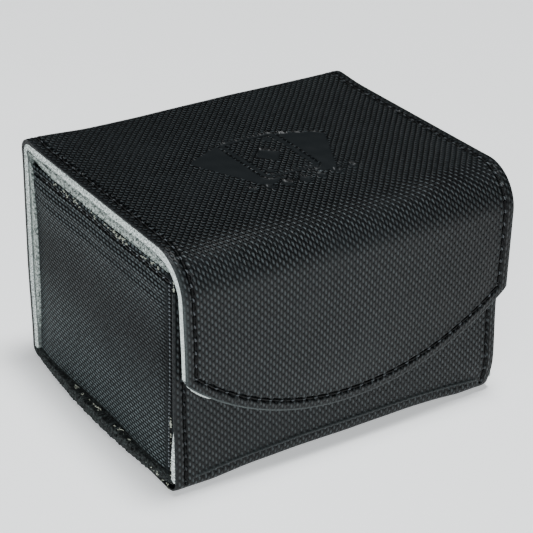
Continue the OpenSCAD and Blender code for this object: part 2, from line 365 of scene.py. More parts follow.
# The leatherette paints light by this layer: a darker base with short painted highlights where it
# is 0, a lighter base with longer ones where it is 1.
def wrap_lie(s):
    """1 where the wrap stands upright at the front, 0 where it lies flat or faces back."""
    return 1 - ramp(s, S_TOE, S_FLOOR) + ramp(s, S_FOLD + 1, S_FLAP - 5)


def wrap_rim(x, s):
    """Where the flap is paler: a band down its left side, and a painted highlight in a thin line
    along its end; also a paler line on the crease at the front's foot.
    """
    side = 0.26 * (1 - ramp(HALF + x, 0.1, 2.3)) * ramp(s, S_FOLD + 2, S_FLAP - 6)
    below = 0.8 * (1 - ramp(edge_distance(x, s), 0.3, 0.75)) * (s > S_FLAP)
    below = below * (0.4 + 0.6 * ramp(-x, -10, 40))
    return np.maximum(np.maximum(side, below), 0.4 * foot_ridge(x, s, 0.45))


# ---- Meshes ----

def make_mesh(name, points, faces, uvs=None, layers=None, kinds=None):
    """A mesh object from points in mm, faces, one (u, v) in mm per corner and point layers."""
    mesh = bpy.data.meshes.new(name)
    mesh.from_pydata((np.asarray(points) * MM).tolist(), [], faces)
    if uvs is not None:
        layer = mesh.uv_layers.new(name="Cloth")
        layer.data.foreach_set("uv", np.asarray(uvs, np.float32).ravel())
    for key, values in (layers or {}).items():
        attribute = mesh.attributes.new(key, "FLOAT", "POINT")
        attribute.data.foreach_set("value", np.asarray(values, np.float32).ravel())
    if kinds is not None:
        mesh.polygons.foreach_set("material_index", np.asarray(kinds, np.int32))
    mesh.polygons.foreach_set("use_smooth", [True] * len(mesh.polygons))
    mesh.update()
    mesh.validate()
    mesh.set_sharp_from_angle(angle=math.radians(62))
    piece = bpy.data.objects.new(name, mesh)
    bpy.context.scene.collection.objects.link(piece)
    return piece


def grid_quads(grid):
    """The four corners of every square of a grid."""
    return [grid[:-1, :-1], grid[1:, :-1], grid[1:, 1:], grid[:-1, 1:]]


def loft(name, rings, us, vs, layers=None, tip_kind=0, inner=None):
    """Closes a stack of rings into a solid. us has one value more than a ring has points.

    inner is the range of a ring's points whose faces take the piece's second material.
    """
    rows, count = rings.shape[:2]
    i, j = np.arange(rows - 1)[:, None] * count, np.arange(count)
    after = (j + 1) % count
    quads = np.stack([i + j, i + after, i + count + after, i + count + j], -1)
    us, vs = np.broadcast_to(us, (rows, count + 1)), np.broadcast_to(vs, (rows, count))
    uv = np.stack([us, join(vs, vs[:, :1])], -1)
    corner_uv = np.stack([uv[:-1, :-1], uv[:-1, 1:], uv[1:, 1:], uv[1:, :-1]], 2)
    faces, corner_uv = quads.reshape(-1, 4).tolist(), corner_uv.reshape(-1, 2).tolist()
    kinds = [0] * len(faces)
    if inner:
        kinds = np.tile((j >= inner[0]) & (j < inner[1]), rows - 1).astype(int).tolist()
    for row, kind, order in ((0, 0, -1), (rows - 1, tip_kind, 1)):
        for k in range(count // 2 - 1):
            places = [k, k + 1, count - 2 - k, count - 1 - k][::order]
            faces.append([row * count + place for place in places])
            corner_uv += [uv[row, place].tolist() for place in places]
            kinds.append(kind)
    return make_mesh(name, rings.reshape(-1, 3), faces, corner_uv, layers, kinds)


def columns(fine, coarse, middle=None):
    """Places across the wrap: close together at the edges and, if asked, in the middle."""
    inner = HALF - 6.5
    edge = np.arange(inner, HALF + 1e-6, fine)
    edge[-1] = HALF
    if middle:
        core = np.linspace(-middle[0], middle[0], round(2 * middle[0] / middle[1]) + 1)
        flank = np.linspace(middle[0], inner, round((inner - middle[0]) / coarse) + 1)[1:-1]
        right = np.concatenate([core, flank, edge])
        return np.concatenate([-edge[::-1], -flank[::-1], right])
    core = np.linspace(-inner, inner, round(2 * inner / coarse) + 1)[1:-1]
    return np.concatenate([-edge[::-1], core, edge])


def skin(name, xs, rows, extra=None, tip_kind=0):
    """A piece of the leatherette. rows gives s for every x: an array of rows by places."""
    face_s = rows(xs)
    face_x = xs + 0 * face_s
    height, press = wrap_relief(face_x, face_s), wrap_press(face_x, face_s)
    none = np.zeros_like(height)
    gloss = none
    if extra:
        more, gloss = extra(face_x, face_s)
        height, press = height + more, np.maximum(press, gloss)
    all_s = join(face_s, face_s[:, ::-1])
    under = np.minimum(stance(face_s) - SKIN_T, height - 0.3)
    points = WRAP.at(join(face_x, face_x[:, ::-1]), all_s, join(height, under))
    pull = np.minimum(face_s[:, :1] - S_FOLD, 0) * (face_s[:, :1] > S_HINGE)
    spread = np.concatenate([xs, 2 * HALF + 2 * SKIN_T - xs[::-1], [xs[0]]]) - 0.07 * pull
    # Painted shade in the `row` layer: the flap darkens towards its right, and the stitch furrows
    # and holes darken.
    painted_flap_shade = 0.36 * ramp(face_x, 0, 52) * ramp(face_s, S_FOLD + 4, S_FLAP)
    row = np.clip(painted_flap_shade - 1.3 * rows_relief(face_x, face_s), 0, 1)
    layers = {
        "lie": wrap_lie(all_s),
        "row": join(row, none),
        "press": join(press, none + 1),
        "gloss": join(gloss, none),
        "rim": join(wrap_rim(face_x, face_s), none),
    }
    return loft(name, points, spread, all_s, layers, tip_kind)


def rows_between(*marks):
    """Rows of constant s: marks are s, step, s, step, s ..."""
    lines = [np.array([marks[0]])]
    for k in range(0, len(marks) - 2, 2):
        lines.append(even(marks[k], marks[k + 2], marks[k + 1])[1:])
    line = np.concatenate(lines)[:, None]
    return lambda xs: line + 0 * xs


def rows_to_end(fixed, end, share):
    """Rows of constant s, then rows squeezed so that the last follows the flap's curved end."""
    lower = fixed[-1] + share[:, None] * (end - fixed[-1])
    return np.concatenate([fixed[:, None] + 0 * end, lower])


def flap_rows(xs):
    share = np.concatenate([np.linspace(0, 0.8, 58)[1:], np.linspace(0.8, 1, 34)[1:]])
    return rows_to_end(even(S_FOLD, S_SQUEEZE, 0.62), flap_end(xs), share)


def slab_columns(half, first, count):
    """Places across a slab, with one more beside each raw edge."""
    inner = np.linspace(-half + 2, half - 2, count)
    return np.concatenate([[-half, -half + first], inner, [half - first, half]])


def ring_x(face_x, right, left):
    """x round each ring of a slab: over its face, down the right edge, back and up the left."""
    face = face_x + 0 * right[:, :1]
    return join(face, right, face[:, ::-1], left)


def ring_between(near, far, face_x, t):
    """Another coordinate round each ring, which only changes from face to face."""
    flat = 0 * face_x[None, :]
    return join(near + flat, near + (far - near) * t, far + flat, far + (near - far) * t)


def raw_slab(name, points, vs, inner=None):
    """A loft whose cloth coordinate runs round its middle ring."""
    step = np.linalg.norm(np.diff(points[len(points) // 2], axis=0), axis=1)
    us = np.concatenate([[0], np.cumsum(step), [np.sum(step) + 1]])
    return loft(name, points, us, vs, inner=inner)


def layer_piece(name, s_of, depth, seed, ragged, x_end=HALF):
    """A pale or felt layer under the leatherette, with raw cut edges at both sides.

    s_of(x) gives rows of s; depth(s, x) gives (upper, lower) depth below the wrap's face.
    """
    face_x = slab_columns(x_end, 0.6, 40)
    t = np.linspace(0, 1, 15)[None, 1:-1]
    face_s = s_of(face_x)
    up, low = depth(face_s, face_x[None, :])
    right_s, left_s = face_s[:, -1:] + 0 * t, face_s[:, :1] + 0 * t

    def raw(s, t, side):
        rough = wobble(s, t * 2.4 + 7 * side, 2.2, seed + side) * ragged
        fine = wobble(s, t * 3.0, 0.9, seed + 5 + side) * ragged * 0.6
        slow = wobble(s, 0 * s, 17, seed + 9 + side) * ragged * 0.8
        crown = 0.24 * np.sin(math.pi * t)
        split = 0.5 * dent(t - 0.42, 0.07) * ramp(s, S_FOLD - 2, S_FOLD + 6)
        return x_end - 0.3 + crown + rough + fine + slow - split

    xs = ring_x(face_x, raw(right_s, t, 1), -raw(left_s, t[:, ::-1], 2))
    ss = join(face_s, right_s, face_s[:, ::-1], left_s)
    right_d = up[:, -1:] + (low[:, -1:] - up[:, -1:]) * t
    left_d = low[:, :1] + (up[:, :1] - low[:, :1]) * t
    dd = join(up, right_d, low[:, ::-1], left_d)
    first = len(face_x) + t.size
    inner = (first, first + len(face_x) - 1)
    return raw_slab(name, WRAP.at(xs, ss, stance(ss) - dd), ss, inner)


RIM_STEP = 0.8  # how far the cloth runs on from one ring of a slab's rim to the next


def outline(grid):
    """The border of a grid, once round."""
    return np.concatenate([grid[:, 0], grid[-1, 1:], grid[-2::-1, -1], grid[0, -2:0:-1]])


def block(name, place, us, vs, rim, layers_of=None):
    """A slab with a front grid and a back grid and rounded rims between them.

    place(u, v, t) gives points: t 0 at the front face, 1 at the back one, between in the rim.
    """
    u, v = np.meshgrid(us, vs, indexing="ij")
    flat, size = np.stack([u, v], -1), u.size
    front = np.arange(size).reshape(u.shape)
    points = [place(u, v, 0.0).reshape(-1, 3), place(u, v, 1.0).reshape(-1, 3)]
    faces, uv = [], []

    def add(quads, places):
        faces.extend(np.stack(quads, -1).reshape(-1, 4).tolist())
        uv.append(np.stack(places, -2).reshape(-1, 2))

    add(grid_quads(front), grid_quads(flat))
    add(grid_quads(front + size)[::-1], grid_quads(flat)[::-1])
    lu, lv = outline(u), outline(v)
    rings = [outline(front)]
    for k in range(rim):
        points.append(place(lu, lv, (k + 1) / (rim + 1)))
        rings.append(2 * size + k * len(lu) + np.arange(len(lu)))
    rings.append(outline(front + size))
    along = np.concatenate([[0], np.cumsum(np.hypot(np.diff(lu), np.diff(lv)))])
    for k, (a, b) in enumerate(zip(rings, rings[1:])):
        near = np.stack([along, np.full_like(along, k * RIM_STEP)], -1)
        far = near + [0, RIM_STEP]
        add([np.roll(a, -1), a, b, np.roll(b, -1)], [near + [1, 0], near, far, far + [1, 0]])
    points = np.concatenate(points)
    layers = layers_of(points) if layers_of else None
    return make_mesh(name, points, faces, np.concatenate(uv), layers)


TUBE_SIDES = 7


def unit(vectors):
    return vectors / (np.linalg.norm(vectors, axis=1)[:, None] + 1e-12)


def tubes(name, runs, radius, sides=TUBE_SIDES):
    """Many short round cords as one mesh. runs is a list of arrays of points.

    radius(n) gives the thickness at each of a run's n points.
    """
    points, faces, uv = [], [], []
    turn = np.linspace(0, 2 * math.pi, sides, endpoint=False)[None, :, None]
    start = 0
    for run in runs:
        ahead = unit(np.gradient(run, axis=0))
        flattest = np.linalg.svd(run - run.mean(0))[2][2]
        across = unit(np.cross(ahead, flattest))
        up = np.cross(across, ahead)
        ring = np.cos(turn) * across[:, None, :] + np.sin(turn) * up[:, None, :]
        shell = run[:, None, :] + ring * radius(len(run))[:, None, None]
        points.append(shell.reshape(-1, 3))
        along = np.concatenate([[0], np.cumsum(np.linalg.norm(np.diff(run, axis=0), axis=1))])
        for i in range(len(run) - 1):
            here = start + i * sides
            for j in range(sides):
                k = (j + 1) % sides
                faces.append([here + j, here + k, here + sides + k, here + sides + j])
                uv += [[a / sides, along[b]]
                       for a, b in ((j, i), (j + 1, i), (j + 1, i + 1), (j, i + 1))]
        for row, order in ((0, -1), (len(run) - 1, 1)):
            faces.append([start + row * sides + j for j in range(sides)][::order])
            uv += [[0.5, along[row]]] * sides
        start += len(run) * sides
    return make_mesh(name, np.concatenate(points), faces, uv)


# ---- Materials ----

class Nodes:
    """A short way to write a material's node tree."""

    def __init__(self, name):
        self.material = bpy.data.materials.new(name)
        self.material.use_nodes = True
        self.tree = self.material.node_tree
        self.tree.nodes.clear()
        out = self.tree.nodes.new("ShaderNodeOutputMaterial")
        self.shader = self.tree.nodes.new("ShaderNodeBsdfPrincipled")
        self.tree.links.new(self.shader.outputs[0], out.inputs[0])

    def put(self, socket, value):
        if isinstance(value, bpy.types.NodeSocket):
            self.tree.links.new(value, socket)
        else:
            socket.default_value = value

    def node(self, kind, inputs=None, output=0, **settings):
        made = self.tree.nodes.new("ShaderNode" + kind)
        for key, value in settings.items():
            setattr(made, key, value)
        for key, value in (inputs or {}).items():
            self.put(made.inputs[key], value)
        return made.outputs[output]

    def math(self, operation, a, b=0.0, c=0.0):
        return self.node("Math", {0: a, 1: b, 2: c}, operation=operation)

    def span(self, value, low, high, to_low=0.0, to_high=1.0, kind="SMOOTHSTEP"):
        inputs = {0: value, 1: low, 2: high, 3: to_low, 4: to_high}
        return self.node("MapRange", inputs, interpolation_type=kind)

    def times(self, a, b, plus=None):
        """a * b, or a * b + plus."""
        if plus is None:
            return self.math("MULTIPLY", a, b)
        return self.math("MULTIPLY_ADD", a, b, plus)

    def split(self, vector):
        """The x and the y of a vector."""
        parts = self.tree.nodes.new("ShaderNodeSeparateXYZ")
        self.put(parts.inputs[0], vector)
        return parts.outputs[0], parts.outputs[1]

    def mix(self, share, a, b):
        made = self.tree.nodes.new("ShaderNodeMix")
        made.data_type = "RGBA"
        for key, value in ((0, share), (6, a), (7, b)):
            self.put(made.inputs[key], value)
        return made.outputs[2]

    def noise(self, vector, scale, detail=3.0, rough=0.55, stretch=None):
        if stretch:
            vector = self.node("Mapping", {"Vector": vector, "Scale": stretch})
        inputs = {"Vector": vector, "Scale": scale, "Detail": detail, "Roughness": rough}
        return self.node("TexNoise", inputs)

    def cloth(self):
        return self.node("UVMap", uv_map="Cloth")

    def layer(self, name):
        return self.node("Attribute", output=2, attribute_name=name)

    def set(self, **values):
        for key, value in values.items():
            self.put(self.shader.inputs[key.replace("_", " ")], value)

    def bump(self, height):
        """Height is in millimetres."""
        inputs = {"Strength": 1.0, "Distance": MM, "Height": height}
        self.set(Normal=self.node("Bump", inputs))


def grey(level, warm=0.0):
    return (level * (1 + warm), level, level * (1 - warm), 1.0)


WRAP_WEAVE = (1.155, 2.45)
SIDE_WEAVE = (1.08, 2.25)


def weave(n, uv, pitch):
    """Where a point lies in its rice grain: distance across and along from the grain's middle."""
    u, v = n.split(uv)
    drift = n.noise(uv, 0.09, 2.0)
    u = n.times(drift, 0.5, u)
    column = n.math("DIVIDE", u, pitch[0])
    odd = n.math("FRACT", n.times(n.math("FLOOR", column), 0.5))
    dx = n.times(n.math("SUBTRACT", n.math("FRACT", column), 0.5), pitch[0])
    row = n.math("ADD", n.math("DIVIDE", v, pitch[1]), odd)
    dy = n.times(n.math("SUBTRACT", n.math("FRACT", row), 0.5), pitch[1])
    return n.times(dy, -0.11, dx), dy


def grain_shape(n, dx, dy, width, length):
    """1 in the middle of a grain, 0 at its rim."""
    a = n.math("POWER", n.math("DIVIDE", dx, width), 2.0)
    b = n.math("POWER", n.math("DIVIDE", dy, length), 2.0)
    return n.span(n.math("ADD", a, b), 1.0, 0.0, kind="LINEAR")


def leatherette(name, pitch=WRAP_WEAVE, painted_highlight_gain=1.0, depth=0.36, shine=0.16, long=0.36):
    """Embossed leatherette. `lie` is 0 where only the grains' ends catch the light, else 1."""
    n = Nodes(name)
    uv = n.cloth()
    lie = n.layer("lie")
    dx, dy = weave(n, uv, pitch)
    grain = grain_shape(n, dx, dy, 0.46 * pitch[0], 0.45 * pitch[1])
    across = n.times(dy, n.span(lie, 0, 1, -1.15, 0.0), dx)
    lit = grain_shape(n, across, dy, n.span(lie, 0, 1, 0.46 * pitch[0], 0.37 * pitch[0]),
                      n.span(lie, 0, 1, 0.23 * pitch[1], long * pitch[1]))
    flat = n.math("SUBTRACT", 1.0, n.layer("press"))
    gloss = n.layer("gloss")
    fine = n.noise(uv, 2.6, 4.0, 0.6)
    broad = n.noise(uv, 0.045, 3.0, 0.6)
    relief = n.times(n.times(grain, flat), depth)
    skin_noise = n.times(fine, n.times(gloss, -0.02, 0.035))
    n.bump(n.math("ADD", relief, skin_noise))
    # Painted light: the lit part of each grain takes `high`, a painted highlight, over the dark
    # base `low`, and the sparkle noise varies how bright each one is. Through `lie` the lid gets a
    # darker base and short painted highlights, the upright faces a lighter base and longer,
    # brighter ones.
    low = n.mix(lie, (0.0011, 0.0013, 0.0015, 1), (0.003, 0.0036, 0.004, 1))
    high = n.mix(lie, (0.044, 0.052, 0.056, 1), (0.052 * painted_highlight_gain, 0.062 * painted_highlight_gain, 0.065 * painted_highlight_gain, 1))
    # `worn` is the smooth pressed leatherette; the near-black colour is painted shade.
    worn, painted_shade_colour = (0.013, 0.0155, 0.017, 1), (0.0006, 0.0007, 0.0008, 1)
    pale_band_and_highlight = (0.1, 0.118, 0.118, 1)
    sparkle = n.noise(uv, 0.55, 2.0, 0.7)
    painted_highlight = n.times(n.span(lit, 0.0, 0.9), n.span(sparkle, 0.3, 0.65, 0.45, 1.25))
    colour = n.mix(n.times(painted_highlight, flat), low, high)
    colour = n.mix(n.times(n.span(broad, 0.45, 0.75), 0.3), colour, worn)
    colour = n.mix(n.span(n.layer("press"), 0.3, 0.9, 0.0, 0.6), colour, worn)
    # Painted shade where the `row` layer says: in the stitch furrows, towards the flap's right and
    # in a band across the side panels.
    colour = n.mix(n.layer("row"), colour, painted_shade_colour)
    pale = n.span(fine, 0.3, 0.7, 0.25, 1.0)
    # The `rim` layer: a paler band down the flap's left side, a painted highlight along the flap's
    # cut end and a paler line on the crease at the front's foot.
    colour = n.mix(n.times(n.layer("rim"), pale), colour, pale_band_and_highlight)
    rough = n.times(fine, 0.16, 0.32)
    rough = n.times(n.layer("press"), 0.16, rough)
    rough = n.times(gloss, -0.16, rough)
    n.set(Base_Color=colour, Roughness=rough, Specular_IOR_Level=shine)
    return n.material


def cut_edge(name):
    """The raw rim of the leatherette, where its pale backing shows."""
    n = Nodes(name)
    uv = n.cloth()
    fine = n.noise(uv, 1.6, 4.0, 0.7)
    colour = n.mix(n.span(fine, 0.35, 0.7), grey(0.05), (0.16, 0.18, 0.18, 1))
    n.set(Base_Color=colour, Roughness=n.times(fine, 0.3, 0.5))
    n.bump(n.times(fine, 0.08))
    return n.material


def pale_core(name):
    """The raw cut board: pale, with dark pores that fade out down the flap."""
    n = Nodes(name)
    uv = n.cloth()
    fine = n.noise(uv, 1.5, 5.0, 0.7)
    broad = n.noise(uv, 0.12, 3.0, 0.6)
    _, along = n.split(uv)
    open_grain = n.span(along, S_FOLD - 2, S_FOLD + 9, 0.95, 0.12)
    pores = n.span(n.noise(uv, 1.5, 3.0, 0.8), 0.4, 0.54)
    colour = n.mix(n.span(fine, 0.3, 0.75), (0.60, 0.67, 0.65, 1), (0.90, 0.94, 0.92, 1))
    colour = n.mix(n.times(n.span(broad, 0.55, 0.8), 0.35), colour,
                   (0.52, 0.56, 0.50, 1))
    colour = n.mix(n.times(n.math("SUBTRACT", 1.0, pores), open_grain), colour,
                   (0.10, 0.135, 0.125, 1))
    n.set(Base_Color=colour, Roughness=n.times(fine, 0.2, 0.7),
          Specular_IOR_Level=0.25)
    n.bump(n.math("ADD", n.times(fine, 0.12), n.times(pores, 0.08)))
    return n.material


def felt(name, dark, light, speck, amount):
    """Matted fibres: streaky noise, dark specks and a little sheen."""
    n = Nodes(name)
    uv = n.cloth()
    one = n.noise(uv, 1.15, 5.0, 0.8, stretch=(1.0, 0.45, 1.0))
    two = n.noise(uv, 1.3, 5.0, 0.8, stretch=(0.4, 1.1, 1.0))
    fibre = n.math("MAXIMUM", one, two)
    spots = n.span(n.noise(uv, 1.0, 5.0, 0.8), 0.54, 0.45)
    colour = n.mix(n.span(fibre, 0.42, 0.78), dark, light)
    colour = n.mix(n.times(spots, amount), colour, speck)
    n.set(Base_Color=colour, Roughness=n.times(fibre, 0.15, 0.8),
          Specular_IOR_Level=0.1, Sheen_Weight=0.06, Sheen_Roughness=0.5)
    n.bump(n.times(fibre, 0.3))
    return n.material


def thread_material(name, level):
    """Twisted thread, or a knot of leatherette pinched between two stitches."""
    n = Nodes(name)
    uv = n.cloth()
    around, along = n.split(uv)
    turn = n.times(along, 2.2, n.times(around, 3.0))
    ply = n.math("PINGPONG", turn, 0.5)
    fuzz = n.noise(uv, 6.0, 3.0)
    colour = n.mix(n.span(ply, 0.05, 0.4), grey(level * 0.4, -0.05), grey(level * 2.2, -0.08))
    n.set(Base_Color=colour, Roughness=n.times(fuzz, 0.2, 0.45),
          Specular_IOR_Level=0.15)
    n.bump(n.math("ADD", n.times(ply, 0.16), n.times(fuzz, 0.03)))
    return n.material


def steel_material(name):
    n = Nodes(name)
    place = n.node("TexCoord", output=3)
    brushed = n.noise(place, 900.0, 3.0, 0.6, stretch=(0.15, 1.0, 1.0))
    colour = n.mix(brushed, grey(0.42), grey(0.58))
    n.set(Base_Color=colour, Metallic=1.0, Roughness=n.times(brushed, 0.25, 0.25))
    n.bump(n.times(brushed, 0.02))
    return n.material


def floor_material(name):
    n = Nodes(name)
    place = n.node("TexCoord", output=3)
    cloudy = n.noise(place, 6.0, 3.0, 0.5)
    colour = n.mix(n.span(cloudy, 0.3, 0.7), grey(0.86), grey(0.88))
    n.set(Base_Color=colour, Roughness=n.times(cloudy, 0.1, 0.75),
          Specular_IOR_Level=0.1, Emission_Color=(0.97, 0.99, 1.0, 1), Emission_Strength=0.5)
    return n.material


PU = leatherette("leatherette")
PU_EDGE = cut_edge("leatherette_edge")
CORE = pale_core("pale_core")
FELT = felt("grey_felt", (0.3, 0.35, 0.33, 1), (0.94, 0.98, 0.95, 1), (0.03, 0.04, 0.036, 1), 0.9)
BACKING = felt("grey_backing", (0.16, 0.19, 0.18, 1), (0.5, 0.54, 0.52, 1), grey(0.06), 0.6)
LINING = felt("lining_felt", (0.20, 0.22, 0.22, 1), (0.42, 0.45, 0.45, 1), grey(0.12), 0.3)
FIBRE = felt("dark_fibre", (0.003, 0.0035, 0.0035, 1), (0.11, 0.13, 0.13, 1), grey(0.001), 0.9)
THREAD = thread_material("black_thread", 0.0015)
# The knots are coloured far lighter than the thread and the leatherette: painted highlights where
# the pinched knots catch the light, brighter on the flap's row, brightest on the side rows.
KNOT = thread_material("pinched_knot", 0.04)
HIGHLIGHT_KNOT = thread_material("highlight_knot", 0.065)
PALE_KNOT = thread_material("pale_knot", 0.12)
# Its painted highlights are over twice as bright as the wrap's.
SIDE_PU = leatherette("side_leatherette", SIDE_WEAVE, painted_highlight_gain=2.25, depth=0.45, shine=0.02,
                       long=0.5)
LINT = felt("pale_lint", (0.52, 0.54, 0.44, 1), (0.85, 0.86, 0.76, 1), grey(0.3), 0.3)


BLENDS = {
    "hinge": ("box", "lid", (0, BACK * MM, (TOP - HINGE_R - 1) * MM),
              (0, (BACK - HINGE_R - 1) * MM, TOP * MM)),
    "fold": ("lid", "flap", (0, FOLD_Y * MM, TOP * MM), (0, FLAP * MM, FOLD_Z * MM)),
}


def dress(piece, *materials):
    for material in materials:
        piece.data.materials.append(material)
    return piece


def settle(piece, hold, nodes):
    """Ties a piece to a body in the place of its CAD nodes; a piece held by a blend of two only
    has its transform baked.
    """
    if hold in BLENDS:
        first, second, start, end = BLENDS[hold]
        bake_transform(piece)
        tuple(start)
        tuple(end)
    else:
        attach(piece, hold)
    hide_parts(*nodes)


# ---- The leatherette of the wrap ----


def wrap_skin(part, xs, rows, hold, length, board, share=None, **shape):
    made = dress(skin(part + "_skin", xs, rows, **shape), PU, PU_EDGE)
    settle(made, hold, [part + "_cover"])


def build_skins():
    wrap_skin("front", columns(0.26, 1.1), rows_between(0, 0.7, S_TOE - 9, 0.3, S_TOE),
              "box", S_TOE, "front_board")
    rows = rows_between(S_TOE, 0.35, S_FLOOR, 1.3, S_HEEL, 0.5, S_BACK)
    wrap_skin("bottom", columns(0.6, 1.6), rows, "box", S_BACK - S_TOE, "bottom_board")
    rows = rows_between(S_BACK, 0.62, S_HINGE - 2, 0.3, S_LID + 1, 0.6, S_JOIN)
    wrap_skin("back", columns(0.28, 1.1), rows, "hinge", S_JOIN - S_BACK, "back_core")
    emblem_s = S_LID + BACK - HINGE_R
    rows = rows_between(S_JOIN, 0.62, emblem_s - 18, 0.42, emblem_s + 27, 0.62, S_FOLD)
    wrap_skin("lid", columns(0.27, 1.1, middle=(27, 0.42)), rows, "lid", S_FOLD - S_JOIN,
              "lid_core", extra=emblem)
    wrap_skin("flap", columns(0.3, 0.62), flap_rows, "fold", FLAP_LENGTH, "flap_core",
              share=0.85, tip_kind=1)


# ---- The pale core and the felts ----

def core_depth(s, x):
    """The core thins towards the corner over the hinge, where it is bent tight."""
    tight = dent(s - (S_HINGE + S_LID) / 2, 5.0)
    upper = SKIN_T - 0.02 + 0 * s * x
    lower = SKIN_T + CORE_T - 0.75 * tight + 0.1 * wobble(s, 0 * s, 9, 21) + 0 * x
    return upper, lower - flap_thin(s)


def flap_thin(s):
    """How much thinner the core is down the flap than over the lid."""
    return 0.6 * ramp(s, S_FOLD + 6, S_FLAP)


def core(part, rows, hold):
    made = dress(layer_piece(part + "_core", rows, core_depth, 31, 0.13), CORE, BACKING)
    settle(made, hold, [part + "_board"])


def flap_core_rows(xs):
    torn = 1.5 * between(xs, -60.8, -58.5, -55, -48)
    end = flap_end(xs) - 0.7 + torn
    return rows_to_end(even(S_FOLD, S_SQUEEZE, 0.5), end, np.linspace(0, 1, 90)[1:])


def build_cores():
    core("back", rows_between(S_HEEL + 5.5, 0.45, S_JOIN), "hinge")
    core("lid", rows_between(S_JOIN, 0.45, S_FOLD), "lid")
    core("flap", flap_core_rows, "fold")


def lid_pad():
    """The felt under the lid: long fibres along the edge, thin at the back corner."""
    lo, hi = corners("lid_pad")
    inner = FOLD_R - SKIN_T - CORE_T - 0.2
    ys = np.linspace(hi[1], lo[1] + 0.3, 190)[:, None]
    face_x = slab_columns(HALF, 0.7, 50)
    t = np.linspace(0, 1, 9)[None, 1:-1]
    bend = FOLD_Z + np.sqrt(np.maximum(inner**2 - (ys - FOLD_Y) ** 2, 0))
    low = lo[2] + 1.7 * ramp(ys, 30, hi[1])
    top = np.maximum(np.where(ys > FOLD_Y, hi[2], bend) - 0.03, low + 0.15)
    y_face, y_edge = ys + 0 * face_x, ys + 0 * t

    def raw(t, side):
        rough = 0.26 * wobble(y_edge, 3 * t, 2.4, 43 + side)
        fine = 0.2 * wobble(y_edge, 4 * t, 0.9, 45 + side)
        seam = 1.4 * dent(t - 0.07, 0.08) * (0.7 + 0.4 * wobble(y_edge, 0 * y_edge, 7, 47))
        return HALF - 0.55 + 0.45 * np.sin(math.pi * t) + rough + fine - seam

    xs = ring_x(face_x, raw(t, 0), -raw(t[:, ::-1], 1))
    yy = join(y_face, y_edge, y_face, y_edge)
    lift = np.minimum(0.3 * ramp(np.abs(face_x), HALF - 5, HALF - 1), (top - low) * 0.6)
    soft = 0.12 * wobble(face_x[None, :], y_face, 9, 41)
    raised = low + lift[:, -1:]
    zs = join(top + 0 * y_face, top + (raised - top) * t, low + (lift + soft)[:, ::-1],
              raised + (top - raised) * t)
    made = dress(raw_slab("lid_felt", np.stack([xs, yy, zs], -1), -yy), FELT)
    settle(made, "lid", ["lid_pad"])


PANEL_SOFT = 0.35  # how far a felt panel's edges are rounded off


def rounded(u, v, t, lo, hi, soft):
    """Pulls a slab's outline in as t leaves the middle of its thickness, to round its edges."""
    pull = soft * (1 - math.sqrt(max(0.0, 1 - (2 * t - 1) ** 2)))
    cu, cv = (lo[0] + hi[0]) / 2, (lo[1] + hi[1]) / 2
    du, dv = (hi[0] - lo[0]) / 2, (hi[1] - lo[1]) / 2
    return cu + (u - cu) * (du - pull) / du, cv + (v - cv) * (dv - pull) / dv


def felt_panel(name, node, axis, material, seed, held, rough=0.12, step=1.0, inset=0,
               shave=None):
    """A flat felt or cloth layer in the place of a CAD slab whose thin way is `axis`."""
    lo, hi = corners(node)
    a, b = [k for k in range(3) if k != axis]
    low, high = (lo[a] + inset, lo[b]), (hi[a] - inset, hi[b])

    def place(u, v, t):
        pu, pv = rounded(u, v, t, low, high, PANEL_SOFT)
        fuzz = rough * wobble(u, v, 7, seed) + 0.5 * rough * wobble(u, v, 2.2, seed + 1)
        edge = np.minimum(np.minimum(u - low[0], high[0] - u), np.minimum(v - low[1], high[1] - v))
        ragged = 0.3 * rough * wobble(u + v, u - v, 1.2, seed + 2) * (edge < 1e-6)
        out = np.zeros(np.shape(u) + (3,))
        out[..., a] = pu + ragged
        out[..., b] = pv + ragged
        near = lo[axis] + (shave(pu, pv) if shave else 0)
        on_face = fuzz * ramp(edge, 0, 2) if t in (0.0, 1.0) else 0
        out[..., axis] = near + (hi[axis] - near) * t + on_face
        return out

    made = block(name, place, even(low[0], high[0], step), even(low[1], high[1], step), 4)
    settle(dress(made, material), "box", [node])
    if held == "padded":
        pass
    else:
        name.split("_")[0] + "_board"


# ---- Side panels ----

PANEL_LO = (WELL_LO[1] - 2.3, WELL_LO[2] - 0.6)
PANEL_HI = (WELL_HI[1], WELL_HI[2] - 0.6)


def panel_back(z):
    """The panel's rear edge bows: it leaves more of the felt showing at mid height."""
    t = (z - PANEL_LO[1]) / (PANEL_HI[1] - PANEL_LO[1])
    return PANEL_HI[0] + 1.9 - 1.8 * np.sin(math.pi * np.clip(t, 0, 1)) ** 0.8


def behind_panel(x, z):
    """How far the back felt's face gives way to the side panels' rear edges."""
    room = np.maximum(panel_back(z) - WELL_HI[1], 0)
    return room * ramp(np.abs(x), SIDE - 4, SIDE - 2)


def panel_front(z):
    """The front edge draws back low down, where the front board's raw edge shows."""
    return PANEL_LO[0] + 0.9 * (1 - ramp(z, 14, 36))


def panel_bottom(y):
    """The lower edge sits highest in the middle, over the bottom's fibre edge."""
    t = (y - PANEL_LO[0]) / (PANEL_HI[0] - PANEL_LO[0])
    return PANEL_LO[1] - 2.4 + 3.6 * np.sin(math.pi * np.clip(t, 0, 1)) ** 0.7


TOP_COUNT = 22
TOP_ROW = 2.3  # the top row's depth below the panel's top edge
TOP_ROW_START = 2.5
FRONT_ROW_Y = 2.2  # the front row's distance from the panel's front edge
FRONT_ROW_START = 3


TOP_STEP = (panel_back(60.0) - PANEL_LO[0] - 4) / TOP_COUNT


